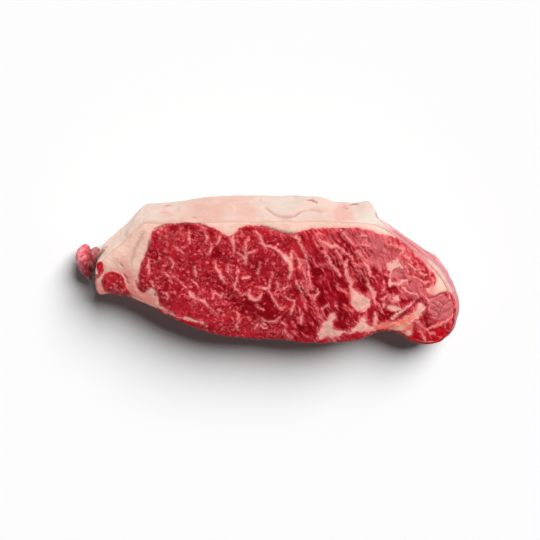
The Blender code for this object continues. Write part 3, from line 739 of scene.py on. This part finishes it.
def cut_look(name, wander):
    """The cut face: lean, marbling and fat, told apart by the fields on the mesh.

    Each field is a depth in millimetres, and noise is added to it, so that its edge is ragged.
    """
    material, surface, place = new_look(name)
    fields = {n: place.field(n) for n in face_fields}
    plume = place.jostled(0.004, 0.002).turned(LOBE_TURN, (0.28, 1.0, 1.0)).noise(0.0014, 2.0, 0.6)
    ragged = (place.noise(0.0022, 2.0, 0.6) - 0.5) * (2.6 * wander)
    fine = (place.noise(0.0010, 2.0, 0.6) - 0.5) * (1.2 * wander)
    red, marbled = lean_colour(place, fields["tone"], fields["pale"], fields["vein"])
    lobe_red = plume.rise(0.42, 0.60).blend(LOBE_RED, PALE_FLESH)
    red = (fields["lobe"] + ragged * 0.2).rise(0.25, 0.6).blend(red, lobe_red)
    in_lean = (fields["lean"] + ragged * 0.45 + fine * 0.7).rise(-0.55, 0.55)
    border = (fields["lean"].size() + ragged * 0.5).rise(1.6, 0.0)
    in_fat = (fields["fat"] + ragged * 1.5 + fine * 1.5).rise(-0.6, 0.7)
    in_salmon = (fields["salmon"] + ragged).rise(-0.8, 1.4)
    in_gap = (fields["gap"] + fine * 0.8).rise(-0.60, 0.40)
    in_crease = (fields["crease"] + ragged * 0.8).rise(-1.6, 1.0)
    in_film = (fields["film"] + ragged * 0.6).rise(-0.4, 0.6)

    cloud = place.noise(0.009, 3.0, 0.55)
    streak = place.turned(SALMON_TURN, (0.25, 1.0, 1.0)).noise(0.0016, 3.0, 0.6)
    fat_tone = cloud + streak * 0.6 - 0.3
    fat = fat_tone.rise(0.30, 0.75).blend(CUT_FAT, PALE_FAT)
    fat = (fields["rosy"] + fat_tone * 1.1 - 0.5).rise(0.0, 1.0).blend(fat, ROSY_FAT)
    fat = (border * 0.55).blend(fat, ROSY_FAT)
    # painted shade: grey in the creases of the fat, and below in the lumps, the flesh and the film
    fat = (in_crease * 0.65).blend(fat, CREASE_SHADE)
    lump = fat_tone + fields["fat"] * 0.26 + ragged * 0.45 + fine * 0.6 + (streak - 0.5) * 1.6
    lump = (lump.rise(0.7, 1.4)).blend(lump.rise(0.30, 1.2).blend(VEIN_PINK, VEIN_CREAM), LUMP_CREAM)
    red = ((fields["fat"] + ragged).rise(-1.6, 0.0) * 0.45).over(border * 0.35).blend(red, NET_PINK)
    lump = (in_salmon * (streak * 2.2 - 0.35).rise(0.2, 0.9) * 0.9).blend(lump, SALMON_PINK)
    lump = (in_crease * 0.5).blend(lump, CREASE_SHADE)
    red = (in_crease * 0.35).blend(red, CREASE_SHADE)

    colour = in_fat.blend(red, lump)
    colour = in_lean.blend(fat, colour)
    film = streak.rise(0.35, 0.65).blend(FILM_PINK, ROSY_FAT)
    film = (in_crease * 0.6).blend(film, CREASE_SHADE)
    colour = (in_film * 0.85).blend(colour, film)
    # dark red along the gaps: the seams' own colour, deepened as painted shade in their furrows
    colour = (in_gap * 0.70).blend(colour, GAP_RED_AND_SHADE)

    soft = in_fat.over(1 - in_lean)
    grain = place.noise(0.0009, 3.0, 0.6)
    height = marbled * 0.30 + soft * 0.2 - in_gap * 0.35 - in_crease * 0.2
    height = height + (grain * 0.35 + place.noise(0.0030, 2.0) * 1.4) * (1 - soft * 0.93)
    finish_look(surface, colour, grain * 0.25 + soft * 0.10 + 0.30, height, CUT_BUMP)
    return material


cut_face = put("cut_face", face_points, face_fields)
cut_face.data.materials.append(cut_look("marbled_cut", FACE_RAGGED))

# ----------------------------------------------------------------------
# The outer side of the slice: the rounded edge, the wall and the rounding at the foot. Along the
# back it is the fat cap's smooth outside, pressed and folded where it was packed. Round the tail
# and along the lean edge a thin film covers red flesh.

SIDE_RINGS, FOOT_RADIUS = 56, 0.0045
# how far the foot stands out along the back, at each place x; the cap ends in a step
BACK_FOOT = [
    (-0.062, 0.0002), (-0.033, 0.0036), (-0.02, 0.004), (0.011, 0.0038), (0.03, 0.0031),
    (0.041, -0.0001), (0.0515, -0.0006), (0.0615, 0.0022), (0.07, -0.0062), (0.078, -0.006),
    (0.088, -0.0042), (0.095, -0.0048), (0.106, -0.002),
]
FRONT_FOOT, TAIL_FOOT = -0.0050, -0.0040
SIDE_BULGE, TAIL_BULGE = 0.0012, 0.0042
BULGE_FROM, BULGE_TO = 0.084, 0.106
EDGE_SHARE, FOOT_SHARE = 0.16, 0.14
CAP_END, CAP_END_RUN, SHEET_FROM, SHEET_RUN = 0.066, 0.007, 0.064, 0.014
CAP_SWAY_SIZE, CAP_SWAY, EDGE_DRIFT = 0.013, (5.0, 0.6), ((0.010, 6.0), (0.025, 10.0))
LONG_FOLDS, SHORT_FOLDS = (0.009, 0.0006, 21), (0.0035, 0.00018, 22)
SIDE_LUMPS = ((0.008, 0.0006, 23), (0.0028, 0.0003, 24))
CAP_DENTS = [
    # place along the cap, height, width, depth
    (0.0080, 0.016, 0.010, 0.0016),
    (-0.0480, 0.020, 0.012, 0.0010),
    (0.0420, 0.018, 0.012, 0.0012),
]
DENT_HEIGHT, SWELL_HEIGHT, FOLD_DEPTH, NICK_DEPTH = 0.006, 0.0009, 0.0006, 0.0005
# Folds pressed into the cap; the brown along and below them is painted shade.
CAP_FOLDS = [
    [(266, 207, 0.4), (270, 211, 0.6), (275, 214.4, 0.8), (281, 216, 1.1), (288, 216.4, 1.2),
     (295, 215, 1)],
    [(295, 215, 1), (300, 211.6, 0.7), (305, 209.4, 0.5), (313, 209, 0.4), (319, 210, 0.2)],
]
CAP_SWELLS = [
    [(262, 200, 1), (272, 203, 3), (284, 206, 4.5), (296, 205.6, 4.5), (307, 202.6, 3),
     (318, 202, 1.5)], [(322, 213, 1), (338, 214, 3), (354, 216, 2)],
    [(180, 209, 1), (205, 208, 3), (232, 209, 2)],
]
CAP_NICKS = [
    [(307, 200.6, 0.5), (312, 200.4, 1), (317, 202.4, 0.6)],
    [(350, 204.8, 0.4), (354, 203.8, 0.9), (358, 204.4, 0.3)], [(344, 206.6, 0.3), (347, 207.4, 0.4)],
    [(165, 206, 0.3), (171, 204.6, 0.5)], [(376, 213.6, 0.5), (378.6, 217, 0.8)],
    [(381, 220, 0.3), (385, 224, 0.5)], [(390, 226, 0.3), (396, 229, 0.4)],
    [(126, 223, 0.3), (130, 218, 0.5), (134, 213, 0.3)], [(193, 216.4, 0.3), (196, 216.8, 0.3)],
]
CAP_END_LINE = [
    [(373, 207, 0.2), (378, 214, 0.9), (382, 219, 0.7), (388, 223.6, 0.8), (396, 229, 0.6),
     (404, 234, 0.4)],
]
SHEET_LINES = [
    [(393, 231, 0.3), (403, 237.6, 0.7), (412, 244.6, 0.7), (420, 251.4, 0.6), (427, 257.2, 0.3)],
    [(405, 235.4, 0.2), (414, 242, 0.4), (423, 249, 0.4), (431, 256, 0.4), (438, 263, 0.2)],
]
CAP_ROSES = [
    (166, 212, 6, 0.9), (200, 208, 18, 0.7), (232, 203, 14, 0.6), (250, 214, 12, 0.7),
    (287, 217, 8, 0.5), (322, 206, 9, 0.6), (343, 219, 12, 0.9), (345, 206, 6, 0.8),
    (215, 217, 12, 0.6), (182, 217, 8, 0.6), (131, 225, 6, 0.8), (352, 215, 6, 0.4),
]
CAP_IVORY = [
    (371, 222, 13, 1.2), (286, 204, 13, 0.8), (360, 230, 9, 0.5), (152, 214, 10, 0.5),
    (386, 230, 9, 0.8), (262, 203, 8, 0.4),
]
# Grey on the cap: the spots at its left edge are painted shade where that edge turns from the lamp; more
# grey follows the cap's end line.
CAP_GREYS = [
    (297, 195.4, 5, 1), (380, 213, 4, 0.8), (388, 221, 4, 0.9), (396, 228, 4, 0.8), (127, 229, 5, 0.6),
    (118, 238, 5, 0.5), (134, 213, 5, 0.4),
]


def tail_share(x):
    """0 over the body of the slice and 1 over its tail."""
    return ease((x - BULGE_FROM) / (BULGE_TO - BULGE_FROM))


def foot_out(path, out):
    """How far the foot of the side stands out, from the back's steps to the front's."""
    x, back = path[:, 0], BACK_FOOT[0][1]
    for (start, low), (end, high) in zip(BACK_FOOT[:-1], BACK_FOOT[1:]):
        back = back + (high - low) * ease((x - start) / (end - start))
    front = FRONT_FOOT + (TAIL_FOOT - FRONT_FOOT) * tail_share(x)
    return front + (back - front) * ease((out[:, 1] + 0.1) / 0.9)


def side_surface():
    """The rings of the side, and its fields.

    The rings are closest at the top, so that the shading runs on smoothly from the cut face:
    a quarter turn at the edge's radius, a wall that bulges a little and leans to its foot, and a
    quarter turn at the foot's radius. Dents, folds and lumps then push it in and out in plan.
    """
    down = np.linspace(0.0, 1.0, SIDE_RINGS + 1)[:, None] ** 1.6
    edge_turn = np.clip(down / EDGE_SHARE, 0, 1) * np.pi / 2
    foot_turn = np.clip((down - 1 + FOOT_SHARE) / FOOT_SHARE, 0, 1) * np.pi / 2
    wall = np.clip((down - EDGE_SHARE) / (1 - EDGE_SHARE - FOOT_SHARE), 0, 1)
    top = face_points[-1, :, 2]
    height = top - EDGE_RADIUS * (1 - np.cos(edge_turn)) - (top - EDGE_RADIUS - FOOT_RADIUS) * wall
    height = height - FOOT_RADIUS * np.sin(foot_turn)
    bulge = SIDE_BULGE + (TAIL_BULGE - SIDE_BULGE) * tail_share(rim_path[:, 0])
    out = EDGE_RADIUS * (np.sin(edge_turn) - 1) - FOOT_RADIUS * (1 - np.cos(foot_turn))
    out = out + foot_out(rim_path, rim_out) * wall + bulge * 4 * wall * (1 - wall)
    out = out - rim_rough * ease(down / 0.35) * 0.85
    points = at_height(rim_path + rim_out * out[..., None], height)

    fat_share = ease((rim_out[:, 1] + 0.15) / 0.55) * (1 - ease((rim_path[:, 0] - CAP_END) / CAP_END_RUN))
    at = seen(points)
    sway = noise(points, CAP_SWAY_SIZE, 27)[..., None] * CAP_SWAY
    fields = {"down": down, "cap": fat_share}
    fields["fold"], fields["nick"] = reach(CAP_FOLDS, at), reach(CAP_NICKS, at)
    fields["roses"], fields["ivory"] = places(CAP_ROSES, at + sway), places(CAP_IVORY, at + sway)
    fields["greys"] = places(CAP_GREYS, at) + 1.2 * ease((reach(CAP_END_LINE, at) + 0.8) / 1.2)
    fields["sheet"] = ease((rim_path[:, 0] - SHEET_FROM) / SHEET_RUN) * ease((rim_out[:, 1] + 0.75) / 0.7)
    fields["lens"], fields["film"] = inside(RIM_LOOP, at), reach(TAIL_FILM, at)
    fields["crease"], fields["line"] = reach(CREASES, at), reach(SHEET_LINES, at)
    # where the side turns left, away from the lamp: the cap's colour is painted lighter there
    fields["slope"] = ease((-rim_out[:, 0] - 0.10) / 0.60) * ease((rim_out[:, 1] + 0.2) / 0.4)
    drift = [layered(points, *[(*layer, seed) for layer in EDGE_DRIFT]) for seed in (25, 26)]
    edge_at = seen(face_points[-1]) + np.stack(drift, axis=-1) * down[..., None]
    fields["lean"], fields["under"] = inside_any(LEAN_LOOPS, at), inside_any(LEAN_LOOPS, edge_at)
    for name in ("tone", "pale", "rosy"):
        fields[name] = face_fields[name][-1]

    dents = 0.0
    for along, high, width, deep in CAP_DENTS:
        spot = ((points[..., 0] - along) / width) ** 2 + ((points[..., 2] - high) / DENT_HEIGHT) ** 2
        dents = dents + deep * np.exp(-spot) * ease(rim_out[:, 1])
    held = np.sin(np.pi * down) ** 0.4
    folds = layered(points * [1, 1, 2.6], LONG_FOLDS) + layered(points * [1, 1, 2], SHORT_FOLDS)
    lumps = layered(points, *SIDE_LUMPS)
    push = (lumps + (folds - lumps) * fat_share) * held - dents
    push = push + SWELL_HEIGHT * ease((reach(CAP_SWELLS, at) + 1.6) / 3.4)
    push = push - FOLD_DEPTH * ease((fields["fold"] + 0.6) / 0.9)
    push = push - NICK_DEPTH * ease((fields["nick"] + 0.4) / 0.7)
    points[..., :2] += rim_out * push[..., None]
    return points, fields


side_points, side_fields = side_surface()
outer_side = put("outer_side", side_points, side_fields)

# The cap's cream, pink, ivory and grey are painted darker than the cut fat, as shade that offsets the
# lamp's stronger light on the back wall.
CAP_CREAM, CAP_PINK, CAP_IVORY_WHITE = shade(179, 157, 146), shade(179, 140, 129), shade(175, 164, 154)
CAP_GREY, NICK_RED, SIDE_FILM = shade(162, 142, 144), shade(140, 60, 62), shade(186, 118, 118)
SHEET_PINK, SHEET_ROSE, RIM_FILM = shade(188, 142, 142), shade(176, 108, 110), shade(206, 136, 134)
FOLD_SHADE_BROWN, SIDE_BUMP = shade(154, 104, 98), 0.0004
# the slope's cream is painted light, for a side that faces away from the lamp
SHEET_GREY, SLOPE_PAINTED_LIGHT, LENS_CREAM = shade(146, 124, 134), shade(218, 190, 175), shade(190, 152, 140)


def side_look():
    """The fat cap's outside, and filmed flesh elsewhere; at the very edge, the cut face's tissue."""
    material, surface, place = new_look("outer_side")
    fields = {n: place.field(n) for n in side_fields}
    cloud = place.noise(0.012, 3.0, 0.55)
    drawn = place.jostled(0.020, 0.010).turned(0.12, (0.16, 1.0, 0.8))
    streak = drawn.noise(0.0050, 2.0, 0.5)
    mottle = cloud * 0.9 + streak * 0.9 - 0.9
    # painted shade: the cap's colours are darker than the cut fat, to offset the lamp's stronger light on
    # the back wall
    cap = (fields["roses"] + mottle * 1.3).rise(0.0, 1.0).blend(CAP_CREAM, CAP_PINK)
    cap = (fields["ivory"] + mottle * 0.8).rise(0.1, 1.1).blend(cap, CAP_IVORY_WHITE)
    grey = (fields["greys"] + (place.noise(0.003, 3.0) - 0.5) * 1.2).rise(0.35, 1.1)
    smudge = drawn.noise(0.008, 2.0).rise(0.62, 0.80)
    # grey: painted shade at the cap's left edge, and grey along the cap's end line and in smudges
    cap = (grey.over(smudge * 0.4) * 0.8).blend(cap, CAP_GREY)
    # painted light: a lighter cream on the cap's left slope, which faces away from the lamp
    cap = (fields["slope"] * (1 - grey * 0.6)).blend(cap, SLOPE_PAINTED_LIGHT)
    wobble = (place.noise(0.0016, 2.0, 0.6) - 0.5) * 1.6
    # painted shade: pinkish brown along and below the cap's folds
    cap = ((fields["fold"] + wobble * 0.8).rise(-1.0, 0.8) * 0.65).blend(cap, FOLD_SHADE_BROWN)
    cap = ((fields["nick"] + wobble).rise(-0.5, 0.4) * 0.8).blend(cap, NICK_RED)

    red, marbled = lean_colour(place, fields["tone"], fields["pale"], fields["nick"])
    film = place.turned(0.0, (0.6, 0.6, 1.0)).jostled(0.005, 0.003).noise(0.0055, 3.0, 0.6)
    flesh = (film.rise(0.40, 0.66) * 0.75).blend(red, SIDE_FILM)
    threads = place.turned(0.0, (1.0, 1.0, 0.22)).jostled(0.003, 0.002).noise(0.0016, 2.0, 0.6)
    threads = threads.rise(0.56, 0.70)
    flesh = (threads * 0.45).blend(flesh, VEIN_PINK)
    ply = place.jostled(0.008, 0.004).turned(0.0, (0.22, 0.22, 1.0)).noise(0.0026, 2.0, 0.6)
    sheet = ply.rise(0.35, 0.62).blend(SHEET_ROSE, SHEET_PINK)
    sheet = ((fields["down"] + (ply - 0.5) * 2.2).rise(0.35, 0.75) * 0.9).blend(sheet, SHEET_GREY)
    sheet = (fields["film"] + wobble).rise(-0.8, 1.2).blend(sheet, SHEET_ROSE)
    sheet = (fields["lens"] + wobble).rise(-0.8, 0.8).blend(sheet, LENS_CREAM)
    # painted shade: grey in the creases
    sheet = ((fields["crease"] + wobble).rise(-0.8, 0.6) * 0.6).blend(sheet, SHEET_GREY)
    sheet = ((fields["line"] + wobble * 0.4).rise(-0.5, 0.5) * 0.8).blend(sheet, NICK_RED)
    flesh = ((fields["sheet"] * 1.4 + film - 0.9).rise(0.1, 0.5) * 0.92).blend(flesh, sheet)
    is_fat = (fields["under"] + wobble * 1.5 + (film - 0.5) * 11.0).rise(0.6, -0.8)
    is_fat = is_fat * (1 - fields["sheet"])
    flesh = is_fat.blend(flesh, (fields["rosy"] + mottle).rise(-0.2, 0.9).blend(CUT_FAT, ROSY_FAT))
    flesh = (is_fat * film.rise(0.40, 0.62) * 0.6).over(is_fat * threads * 0.5).blend(flesh, SIDE_FILM)
    is_cap = (fields["cap"] + (place.noise(0.005, 3.0) - 0.5) * 1.4).rise(0.35, 0.65)
    colour = is_cap.blend(flesh, cap)

    rim_fat = (fields["rosy"] + mottle).rise(-0.1, 1.0).blend(CUT_FAT, ROSY_FAT)
    rim_fat = fields["sheet"].blend(rim_fat, RIM_FILM)
    fade = fields["down"] + (place.noise(0.003, 2.0) - 0.5) * 0.10
    colour = (fields["down"].rise(0.085, 0.0) * 0.75).blend(colour, rim_fat)
    in_lean = (fields["lean"] + wobble * 0.6).rise(-0.45, 0.45) * fade.rise(0.16, 0.09)
    colour = in_lean.blend(colour, red)

    grain = place.noise(0.0012, 3.0, 0.6)
    rough = grain * 0.5 + threads * 0.4 + film * 0.5 + ply * 0.6 + place.noise(0.004, 2.0)
    height = rough * (1.0 - is_cap * 0.75) + streak * 0.8
    finish_look(surface, colour, grain * 0.2 + 0.34, height, SIDE_BUMP)
    return material


outer_side.data.materials.append(side_look())

# ----------------------------------------------------------------------
# The back cut face, which the steak lies on. It is the same muscles cut 30 mm further along, so
# its veins have wandered, and it is pressed flat against the table.

BACK_RINGS, BACK_STRETCH, BACK_WANDER, BACK_RAGGED = 44, 1.03, 3.0, 1.5
back_share = (np.arange(BACK_RINGS + 1) / BACK_RINGS)[:, None, None]
back_plan = side_points[-1, :, :2] + (faced - side_points[-1, :, :2]) * back_share
back_fields = tissue(at_height(back_plan * BACK_STRETCH, THICKNESS), BACK_WANDER)
back_face = put("back_face", at_height(back_plan, 0.0), back_fields)
back_face.data.materials.append(cut_look("marbled_back", BACK_RAGGED))

# ----------------------------------------------------------------------
# The knob at the left end: a tongue of darker meat left by the knife, the sinewy root that holds
# it, and a thin shred of membrane over the root. All three are grown into the slice.

TONGUE_AT, TONGUE_HALF = (-0.1163, -0.0050, 0.0125), (0.0045, 0.0112, 0.0078)
TONGUE_TAPER, TONGUE_BEND = 0.60, 0.0034
ROOT_AT, ROOT_HALF = (-0.1097, -0.0032, 0.0120), (0.0052, 0.0078, 0.0070)
ROOT_TAPER, ROOT_BEND = 0.20, 0.0
SHRED_AT, SHRED_HALF = (-0.1043, 0.0070, 0.0215), (0.0009, 0.0052, 0.0022)
SHRED_TAPER, SHRED_TURN, SHRED_GRID = 0.3, np.radians(-40.0), (24, 48)
TONGUE_LUMPS, ROOT_LUMPS, SHRED_LUMPS = 0.07, 0.10, 0.15
ROOT_INNER, SHRED_INNER, KNOB_WAVE, KNOB_BUMP = 5.0, 9.0, 0.06, 0.0004
KNOB_LAYERS = ((0.55, 1.0, 31), (0.22, 0.5, 32))


def lobe(at, half, taper, bend, roughness, turn=0.0, rings=72, around=110):
    """A ball drawn out to three half sizes, narrower to the front, lumpy, its front bent to +X.

    Last it is turned about the upright by this angle.
    """
    turns = -np.arange(around) * 2 * np.pi / around
    v, u = np.meshgrid(np.linspace(0, np.pi, rings), turns, indexing="ij")
    ball = np.stack([np.sin(v) * np.cos(u), np.sin(v) * np.sin(u), np.cos(v)], axis=-1)
    x, y, z = np.moveaxis(ball, -1, 0)
    lump = 1.0 + KNOB_WAVE * np.sin(3.0 * x + 4.0 * z) * np.cos(3.5 * y)
    lump = lump + roughness * layered(ball, *KNOB_LAYERS)
    wide = (1.0 + taper * y) * lump
    across = half[0] * x * wide + bend * np.minimum(y, 0.0) ** 2
    grown = np.stack([across, half[1] * y * lump, half[2] * z * wide], axis=-1)
    return grown @ np.array(Matrix.Rotation(turn, 3, "Z")).T + np.array(at)


tongue_points = lobe(TONGUE_AT, TONGUE_HALF, TONGUE_TAPER, TONGUE_BEND, TONGUE_LUMPS)
root_points = lobe(ROOT_AT, ROOT_HALF, ROOT_TAPER, ROOT_BEND, ROOT_LUMPS)
shred_points = lobe(SHRED_AT, SHRED_HALF, SHRED_TAPER, 0.0, SHRED_LUMPS, SHRED_TURN, *SHRED_GRID)
# how far in from the tongue's middle, in millimetres; the root and the shred are past it
tongue = put("knob_tongue", tongue_points, {"inner": (tongue_points[..., 0] - TONGUE_AT[0]) * 1000.0})
root = put("knob_root", root_points, {"inner": ROOT_INNER})
shred = put("knob_shred", shred_points, {"inner": SHRED_INNER})

# the tongue's dark red is also painted shade on its inner side, and its pink film also painted sheen on
# its outer side
TONGUE_RED, TONGUE_FILM_AND_SHEEN, TONGUE_MOTTLE_AND_SHADE = shade(182, 60, 72), shade(208, 124, 130), shade(128, 20, 36)
ROOT_BROWN, ROOT_RED, SHRED_GREY = shade(150, 98, 92), shade(122, 38, 44), shade(176, 148, 142)


def knob_look():
    """Red meat under a pink film, pinker outside as painted sheen, dark red on its inner side as painted
    shade, brown at the root, grey membrane.
    """
    material, surface, place = new_look("knob_meat")
    inner = place.field("inner")
    body = place.noise(0.0045, 2.0, 0.5)
    film = place.jostled(0.003, 0.002).noise(0.0030, 2.0, 0.6)
    # painted shade darkens the tongue towards the slice, and painted sheen lifts its pink film towards
    # the outside
    colour = (body + film * 0.6 - inner * 0.07 - 0.1).rise(0.35, 0.95).blend(TONGUE_MOTTLE_AND_SHADE, TONGUE_RED)
    colour = ((film - inner * 0.06).rise(0.38, 0.70) * 0.85).blend(colour, TONGUE_FILM_AND_SHEEN)
    root_colour = (body + (film - 0.5) * 0.5).rise(0.35, 0.65).blend(ROOT_BROWN, ROOT_RED)
    colour = (inner + (body - 0.5) * 3.0).rise(2.0, 3.6).blend(colour, root_colour)
    colour = inner.rise(7.0, 8.0).blend(colour, film.rise(0.3, 0.7).blend(SHRED_GREY, ROOT_BROWN))
    grain = place.noise(0.0011, 2.0, 0.6)
    finish_look(surface, colour, grain * 0.2 + 0.28, grain * 0.3 + film * 0.8 + body, KNOB_BUMP)
    return material


knob_meat = knob_look()
for piece in (tongue, root, shred):
    piece.data.materials.append(knob_meat)

# ----------------------------------------------------------------------
# The pale table that it lies on, one large soft lamp over the fat side, and the camera.

FLOOR_HALF, FLOOR_DROP, FLOOR_ROUGHNESS = 3.0, 0.0002, 0.9
FLOOR_WHITE, ROOM_WHITE = (0.91, 0.91, 0.91, 1.0), (1.0, 1.0, 1.0, 1.0)
ROOM_GLOW, ROOM_DIM = 0.75, 0.02
LAMP_STRENGTH, LAMP_SPREAD, LAMP_FROM = 5.6, np.radians(36.0), (0.385, 0.723, 0.574)

floor_mesh = bpy.data.meshes.new("floor")
corners = [(-1, -1), (1, -1), (1, 1), (-1, 1)]
corners = [(FLOOR_HALF * x, FLOOR_HALF * y, -FLOOR_DROP) for x, y in corners]
floor_mesh.from_pydata(corners, [], [(0, 1, 2, 3)])
floor = bpy.data.objects.new("floor", floor_mesh)
bpy.context.scene.collection.objects.link(floor)
paper = bpy.data.materials.new("floor_paper")
paper.use_nodes = True
paper.node_tree.nodes["Principled BSDF"].inputs["Base Color"].default_value = FLOOR_WHITE
paper.node_tree.nodes["Principled BSDF"].inputs["Roughness"].default_value = FLOOR_ROUGHNESS
floor_mesh.materials.append(paper)

room = bpy.data.worlds.new("room")
room.use_nodes = True
backdrop = room.node_tree.nodes["Background"]
backdrop.inputs["Color"].default_value = ROOM_WHITE
direction = Wire(room.node_tree, room.node_tree.nodes.new("ShaderNodeTexCoord").outputs["Generated"])
upward = direction.make("SeparateXYZ", {}, {0: direction}, out=2)
# brightest near the horizon, dim overhead
glow = upward.rise(0.40, 0.02) * ROOM_GLOW + ROOM_DIM
room.node_tree.links.new(glow.socket, backdrop.inputs["Strength"])
bpy.context.scene.world = room

lamp = bpy.data.lights.new("lamp", "SUN")
lamp.energy = LAMP_STRENGTH
lamp.angle = LAMP_SPREAD
lamp_item = bpy.data.objects.new("lamp", lamp)
lamp_item.rotation_mode = "QUATERNION"
lamp_item.rotation_quaternion = Vector(LAMP_FROM).to_track_quat("Z", "Y")
bpy.context.scene.collection.objects.link(lamp_item)

camera_data = bpy.data.cameras.new("camera")
camera_data.lens, camera_data.sensor_width = LENS, SENSOR
camera = bpy.data.objects.new("camera", camera_data)
axes = np.stack([[1.0, 0.0, 0.0], sight_up, -sight, eye + FRAME_SHIFT], axis=1)
camera.matrix_world = Matrix([*axes.tolist(), [0, 0, 0, 1]])
bpy.context.scene.collection.objects.link(camera)
bpy.context.scene.camera = camera
bpy.context.scene.view_settings.view_transform = "Standard"
